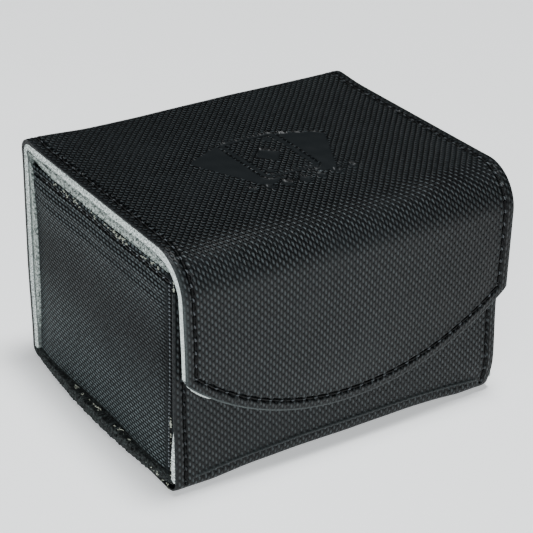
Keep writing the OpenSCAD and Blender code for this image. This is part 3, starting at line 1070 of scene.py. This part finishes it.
def panel_edges(y, z):
    """Distances from the panel's top, front, rear and lower edges."""
    return PANEL_HI[1] - z, y - panel_front(z), panel_back(z) - y, z - panel_bottom(y)


def panel_rows(y, z):
    """What the panel's two stitch rows do to its face."""
    from_top, from_front, from_back, from_low = panel_edges(y, z)
    top = furrow(from_top - TOP_ROW, from_front - TOP_ROW_START, TOP_STEP)
    front = furrow(from_front - FRONT_ROW_Y, from_top - FRONT_ROW_START, SIDE_STITCH)
    top = top * ramp(from_front, 1.5, 2.5) * ramp(from_back, 0.5, 1.5)
    return 0.8 * (top + front * ramp(from_top, 2.0, 3.0) * ramp(from_low, 0.5, 1.5))


def panel_shape(y, z, side):
    """How far the padded panel's face stands off its flat plane."""
    from_top, from_front, from_back, from_low = panel_edges(y, z)
    edge = np.minimum(np.minimum(from_top, from_front), np.minimum(from_back, from_low))
    held = np.minimum(from_top, np.minimum(from_front, from_back))
    puff = 0.55 * ramp(held, 0.5, 10) + 0.18 * wobble(y, z, 38, 71 + side)
    bands = 0.26 * dent(from_top - 7.0, 1.5) + 0.22 * dent(from_top - 11.5, 1.7)
    bands = bands - 0.2 * dent(from_top - 4.6, 1.0) - 0.16 * dent(from_top - 9.3, 1.0)
    round_off = -0.4 * np.exp(-np.clip(edge, 0, None) / 0.5)
    rows = panel_rows(y, z) + 0.16 * dent(from_top - 1, 0.7)
    return puff + bands * ramp(from_front, 2, 10) + rows + round_off


def side_panel(side):
    name = "left" if side < 0 else "right"
    lo, hi = corners(name + "_board")
    inner_x = min(abs(lo[0]), abs(hi[0]))
    us = np.concatenate([even(0, 5.5, 0.3)[:-1], even(5.5, 87, 0.8)])
    vs = even(0, 68, 0.34)

    def place(u, v, t):
        z0 = PANEL_LO[1] + v * (PANEL_HI[1] - PANEL_LO[1])
        y = panel_front(z0) + u * (panel_back(z0) - panel_front(z0))
        low = panel_bottom(y)
        z = low + v * (PANEL_HI[1] - low)
        depth = SIDE + panel_shape(y, z, side)
        if t > 0:
            depth = depth + (inner_x - depth) * t
            grow = 0.55 * math.sin(math.pi * min(1.0, t * 1.4))
            y = y + grow * (2 * (u > 0.5) - 1) * ((u < 1e-9) | (u > 1 - 1e-9))
            z = z + grow * (2 * (v > 0.5) - 1) * ((v < 1e-9) | (v > 1 - 1e-9))
        return np.stack([side * depth, y, z], -1)

    def layers(points):
        y, z = points[:, 1], points[:, 2]
        by_top = 0.2 * (1 - ramp(PANEL_HI[1] - z, 5, 15))
        by_front = 0.85 * (1 - ramp(y - panel_front(z), 3.6, 6.4))
        inner = (np.abs(points[:, 0]) < inner_x + 0.1) * 1.0
        none = np.zeros(len(points))
        press = np.maximum(np.maximum(by_top, by_front), inner)
        # Painted shade in the `row` layer: a band across the panel's middle darkens, and so do the
        # stitch furrows.
        shade = 0.62 * dent(PANEL_HI[1] - z - 27, 18)
        row = np.clip(shade - 1.4 * panel_rows(y, z), 0, 1)
        return {"press": press, "gloss": none, "rim": none, "lie": none + 1, "row": row}

    made = block(name + "_panel", place, us / us[-1], vs / vs[-1], 7, layers)
    # The embossing runs with its columns stacked up the panel, a quarter turn from the wrap's.
    index = [corner.vertex_index for corner in made.data.loops]
    co = np.array([vertex.co for vertex in made.data.vertices], np.float32) / MM
    uv = np.stack([co[index, 2], co[index, 1]], -1).astype(np.float32)
    made.data.uv_layers["Cloth"].data.foreach_set("uv", uv.ravel())
    if side > 0:
        made.data.flip_normals()
    settle(dress(made, SIDE_PU), "box", [name + "_cover", name + "_foam", name + "_board"])


def build_sides():
    for side in (-1, 1):
        side_panel(side)
    for name, seed in (("left", 80), ("right", 84)):
        felt_panel(name + "_cloth", name + "_lining", 0, LINING, seed, "laid")


# ---- Stitches ----

KNOT_POINTS = 7


def arch(t):
    """A stitch's rise out of one hole and back into the next: 0 at both ends, 1 between."""
    share = (t - t[0]) / (t[-1] - t[0])
    return np.power(np.clip(np.sin(math.pi * share), 0, 1), 0.42)


def wrap_stitch(x0, s0, x1, s1):
    """The thread from one hole to the next, lying a little aslant in its furrow."""
    t = np.linspace(0.12, 0.88, 10)
    rise = -1.0 + 0.6 * arch(t)
    length = math.hypot(x1 - x0, s1 - s0)
    nx, ns = -(s1 - s0) / length, (x1 - x0) / length
    swing = 0.16 * (2 * t - 1)
    x, s = x0 + (x1 - x0) * t + nx * swing, s0 + (s1 - s0) * t + ns * swing
    return WRAP.at(x, s, rise + stance(s) + padding(x, s))


def wrap_bridge(x, s, dx, ds):
    """The knot of leatherette pinched up between two stitches; its light colour is a painted
    highlight.
    """
    t = np.linspace(-0.62, 0.62, KNOT_POINTS)
    px, ps = x + dx * t + ds * 0.25 * t, s + ds * t - dx * 0.25 * t
    return WRAP.at(px, ps, -0.12 - 0.5 * t * t + stance(ps) + padding(px, ps))


def cord_radius(count):
    """Thickness along a stitch, which has more points than a knot, or along a knot."""
    if count == KNOT_POINTS:
        return 0.25 * np.sin(np.linspace(0.5, math.pi - 0.5, count))
    t = np.linspace(-1, 1, count)
    return 0.4 * np.sqrt(np.maximum(0.15, 1 - 0.75 * t**6))


def wrap_rows():
    """Holes of the wrap's long row, which runs up one side, round the flap and up the other."""
    left = [(-ROW_X, S_ROW + k * SIDE_STEP) for k in range(SIDE_COUNT + 1)]
    arc = []
    for k in range(ARC_COUNT + 1):
        a = -ARC_END + k * ARC_STEP / ARC_ROW_R
        arc.append((ARC_ROW_R * math.sin(a), S_FLAP + FOLD_Z - (ARC_Z - ARC_ROW_R * math.cos(a))))
    right = [(-x, s) for x, s in left]
    return left, arc, right


def stitched(part, runs, knots, hold, knot=KNOT):
    """One piece of all the stitches and knots that move together."""
    made = tubes(part + "_thread", runs + knots, cord_radius)
    kinds = np.zeros(len(made.data.polygons), np.int32)
    kinds[-len(knots) * ((KNOT_POINTS - 1) * TUBE_SIDES + 2):] = 1
    made.data.polygons.foreach_set("material_index", kinds)
    settle(dress(made, THREAD, knot), hold, [part + "_stitching"])


def build_stitches():
    left, arc, right = wrap_rows()
    runs = {"back": [], "lid": [], "flap": []}
    knots = {"back": [], "lid": [], "flap": []}
    for row in (left, right, arc):
        for (x0, s0), (x1, s1) in zip(row, row[1:]):
            middle = (s0 + s1) / 2
            key = "back" if middle < S_JOIN else "lid" if middle < S_FOLD else "flap"
            length = math.hypot(x1 - x0, s1 - s0)
            runs[key].append(wrap_stitch(x0, s0, x1, s1))
            if s0 > S_ROW:
                knots[key].append(wrap_bridge(x0, s0, (x1 - x0) / length, (s1 - s0) / length))
    for part, hold, knot in (("back", "hinge", KNOT), ("lid", "lid", KNOT),
                             ("flap", "fold", HIGHLIGHT_KNOT)):
        stitched(part, runs[part], knots[part], hold, knot)
    front, pinched = [], []
    for side in (-1, 1):
        for k in range(FRONT_COUNT):
            s0 = FRONT_ROW[0] + k * FRONT_STEP
            front.append(wrap_stitch(side * ROW_X, s0, side * ROW_X, s0 + FRONT_STEP))
            pinched.append(wrap_bridge(side * ROW_X, s0, 0.0, 1.0))
    stitched("front", front, pinched, "box")


def side_threads(side):
    """Long stitches under the panel's top edge, fine ones beside its front edge."""
    name = "left" if side < 0 else "right"
    t = np.linspace(0.14, 0.86, 9)
    rise = -0.5 + 0.42 * arch(t)
    at_knot = np.linspace(-0.4, 0.4, KNOT_POINTS)
    runs, knots = [], []

    def add(target, y, z, out):
        face = SIDE + panel_shape(y, z, side) * 0.35 + out
        target.append(np.stack([side * face, y, z], -1))

    y0, z0 = PANEL_LO[0] + TOP_ROW_START, PANEL_HI[1] - TOP_ROW
    for k in range(TOP_COUNT - 1):
        add(runs, y0 + (k + t) * TOP_STEP, z0 + 0.25 * (2 * t - 1), rise)
        y = y0 + k * TOP_STEP + at_knot
        add(knots, y, z0 - 0.5 * at_knot, -0.26 - 0.8 * at_knot**2)
    z0 = PANEL_HI[1] - FRONT_ROW_START
    for k in range(int((z0 - 6) / SIDE_STITCH)):
        z = z0 - (k + t) * SIDE_STITCH
        add(runs, panel_front(z) + FRONT_ROW_Y, z, rise)
        z = z0 - k * SIDE_STITCH + 0.7 * at_knot
        add(knots, panel_front(z) + FRONT_ROW_Y + 0.5 * at_knot, z, 0.42 - 0.8 * at_knot**2)
    stitched(name, runs, knots, "box", PALE_KNOT)


# ---- Bottom edge, boards and lint ----

def bottom_board():
    """The bottom's fibre board: a dark, matted, rounded edge under each side panel."""
    ys = np.linspace(FRONT + 1.2, BACK - 1.4, 210)[:, None]
    face_x = np.linspace(-HALF + 1.5, HALF - 1.5, 24)
    t = np.linspace(0, 1, 13)[None, :]
    share = np.clip((ys - FRONT) / (BACK - FRONT), 0, 1)
    low = 0.75 + 2.6 * np.power(np.abs(2 * share - 1), 7)
    high = np.maximum(4.4 + 0.6 * np.sin(math.pi * share), low + 0.4)
    bow = 2.7 * np.sin(math.pi * share)

    def raw(side):
        rough = 0.3 * wobble(ys + 0 * t, 5 * t, 1.8, 91 + side)
        fine = 0.22 * wobble(ys + 0 * t, 7 * t, 0.8, 95 + side)
        return HALF - 0.85 + bow + 0.75 * np.sin(math.pi * (0.15 + 0.8 * t)) + rough + fine

    xs = ring_x(face_x, raw(0), -raw(1)[:, ::-1])
    yy = ys + 0 * xs
    points = np.stack([xs, yy, ring_between(high, low, face_x, t)], -1)
    made = dress(raw_slab("bottom_fibre", points[::-1], yy[::-1]), FIBRE)
    settle(made, "box", ["bottom_board"])


def front_board():
    """The front's board, whose raw edge shows low down beside the side panels."""
    lo, hi = corners("front_board")
    zs = even(lo[2] - 0.8, hi[2], 0.6)[:, None]
    face_x = np.linspace(-HALF + 3, HALF - 3, 24)
    t = np.linspace(0, 1, 9)[None, :]

    def raw(side):
        rough = 0.12 * wobble(zs + 0 * t, 4 * t, 2.0, 101 + side)
        fine = 0.1 * wobble(zs + 0 * t, 5 * t, 0.8, 103 + side)
        low_end = 1.95 * (1 - ramp(zs, 12, 34))
        return HALF - 2.1 + low_end + 0.2 * np.sin(math.pi * t) + rough + fine

    xs = ring_x(face_x, raw(0), -raw(1))
    near = lo[1] + 0.02 - stance(FRONT_TOP - zs)
    ys = ring_between(near, 0 * near + hi[1] - 0.9, face_x, t)
    zz = zs + 0 * xs
    points = np.stack([xs, ys, zz], -1)
    made = dress(raw_slab("front_raw_board", points[::-1], zz[::-1]), CORE)
    settle(made, "box", ["front_board"])


def lint_radius(count):
    return 0.13 * np.sin(np.linspace(0.35, math.pi - 0.35, count))


def lint():
    """Frayed threads and dried glue along the tops of the side panels and under them."""
    for side, name in ((-1, "left_lint"), (1, "right_lint")):
        draw = np.random.default_rng(210 + side)
        runs = []

        def strand(x, y, z, size):
            walk = np.cumsum(draw.normal(0, 1, (6, 3)) * np.array([0.25, 0.6, 0.3]), 0)
            runs.append(np.array([side * x, y, z]) + (walk - walk.mean(0)) * size)

        for _ in range(58):
            y = draw.choice([25, 19, -9, -13, -34, 5], p=[0.18, 0.18, 0.22, 0.16, 0.14, 0.12])
            y = y + draw.normal(0, 4.4)
            z = PANEL_HI[1] + draw.uniform(-1.0, 0.2)
            strand(SIDE + draw.uniform(-0.1, 0.6), y, z, draw.uniform(0.25, 0.7))
        out = HALF + (0.6 if side < 0 else -0.6)
        for _ in range(90):
            y = draw.choice([-38, -27, -12, 2, 14, 30]) + draw.normal(0, 3.4)
            z = float(panel_bottom(np.array(y))) + draw.uniform(-1.5, -0.1)
            strand(out + draw.uniform(-0.5, 0.5), y, z, draw.uniform(0.3, 0.95))
        for _ in range(46):
            if draw.random() < 0.5:
                strand(HALF - 0.4, FRONT + 2.6, draw.uniform(2, 26), 0.35)
            else:
                strand(SIDE + 0.2, PANEL_LO[0] - 0.1, draw.uniform(63, 73), 0.35)
        made = dress(tubes(name, runs, lint_radius, sides=5), LINT)
        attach(made, "box")


# ---- Flap lining ----

def flap_lining():
    """The thin cloth inside the flap, whose edge shows as a white sliver."""
    def rows(xs):
        share = np.linspace(0, 1, 60)[1:]
        return rows_to_end(even(S_FOLD + 5, S_SQUEEZE, 0.9), flap_end(xs) - 0.35, share)

    def depth(s, x):
        upper = SKIN_T + CORE_T - 0.35 - flap_thin(s)
        return upper + 0 * x, upper + 0.75 + 0.05 * wobble(x + 0 * s, s, 3, 51)

    made = layer_piece("flap_lining_cloth", rows, depth, 52, 0.05, x_end=HALF - 0.5)
    settle(dress(made, LINING), "fold", ["flap_lining"])


# ---- Build ----

build_skins()
build_cores()
lid_pad()
felt_panel("back_felt", "back_pad", 1, FELT, 61, "padded", rough=0.2, step=0.9,
           inset=0.4, shave=behind_panel)
felt_panel("bottom_felt", "bottom_pad", 2, FIBRE, 64, "padded")
felt_panel("front_cloth", "front_lining", 1, LINING, 66, "laid", inset=4.9)
flap_lining()
build_sides()
bottom_board()
front_board()
build_stitches()
side_threads(-1)
side_threads(1)
lint()

STEEL = steel_material("magnet_steel")
for magnet in ("front_magnets", "flap_magnets"):
    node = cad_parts[magnet]
    node.data.materials.clear()
    node.data.materials.append(STEEL)


# ---- Stage, light and camera ----

def floor():
    half, count = 3.0, 24
    line = np.linspace(-half, half, count) / MM
    x, y = np.meshgrid(line, line, indexing="ij")
    points = np.stack([x, y, 0 * x - 0.05], -1).reshape(-1, 3)
    index = np.arange(count * count).reshape(count, count)
    quads = np.stack(grid_quads(index), -1).reshape(-1, 4)
    made = make_mesh("floor", points, quads.tolist())
    dress(made, floor_material("pale_floor"))


def area_light(name, place, aim, size, power, colour):
    data = bpy.data.lights.new(name, "AREA")
    data.shape = "RECTANGLE"
    data.size, data.size_y = size
    data.energy = power
    data.color = colour
    lamp = bpy.data.objects.new(name, data)
    lamp.location = place
    lamp.rotation_mode = "QUATERNION"
    lamp.rotation_quaternion = (Vector(aim) - Vector(place)).to_track_quat("-Z", "Y")
    bpy.context.scene.collection.objects.link(lamp)


LAMPS = (  # name, place, aim, size, watts, colour
    ("overhead", (0.1, -0.1, 1.5), (0, 0, 0), (0.32, 0.32), 33, (0.96, 0.99, 1.0)),
    ("low_front", (-0.3, -0.36, 0.2), (-0.05, 0, 0.03), (0.15, 0.12), 0.9, (0.9, 0.96, 1.0)),
    ("low_left", (-1.15, -0.1, 0.12), (0, 0, 0.02), (0.4, 0.15), 5.6, (0.94, 1.0, 0.98)),
)


def lights():
    world = bpy.data.worlds.new("studio")
    world.use_nodes = True
    back = world.node_tree.nodes["Background"]
    back.inputs[0].default_value = (0.9, 0.95, 1.0, 1)
    back.inputs[1].default_value = 0.03
    bpy.context.scene.world = world
    for lamp in LAMPS:
        area_light(*lamp)


CAMERA_ANGLES = (-33.444, 27.721, 1.367)  # turn, rise and roll, in degrees
CAMERA_AIM = (-1.3, -3.352, 42.655)
CAMERA_AWAY = 562.3
CAMERA_LENS = 116.6


def camera():
    turn, rise, roll = map(math.radians, CAMERA_ANGLES)
    back = Vector((math.sin(turn) * math.cos(rise), -math.cos(turn) * math.cos(rise),
                   math.sin(rise)))
    level = Vector((math.cos(turn), math.sin(turn), 0))
    over = back.cross(level)
    right = level * math.cos(roll) + over * math.sin(roll)
    up = over * math.cos(roll) - level * math.sin(roll)
    target = Vector(CAMERA_AIM) * MM
    data = bpy.data.cameras.new("camera")
    data.sensor_width = 36
    data.lens = CAMERA_LENS
    data.clip_start, data.clip_end = 0.05, 20
    cam = bpy.data.objects.new("camera", data)
    turned = Matrix((right, up, back)).transposed().to_4x4()
    cam.matrix_world = Matrix.Translation(target + back * CAMERA_AWAY * MM) @ turned
    bpy.context.scene.collection.objects.link(cam)
    bpy.context.scene.camera = cam


floor()
lights()
camera()
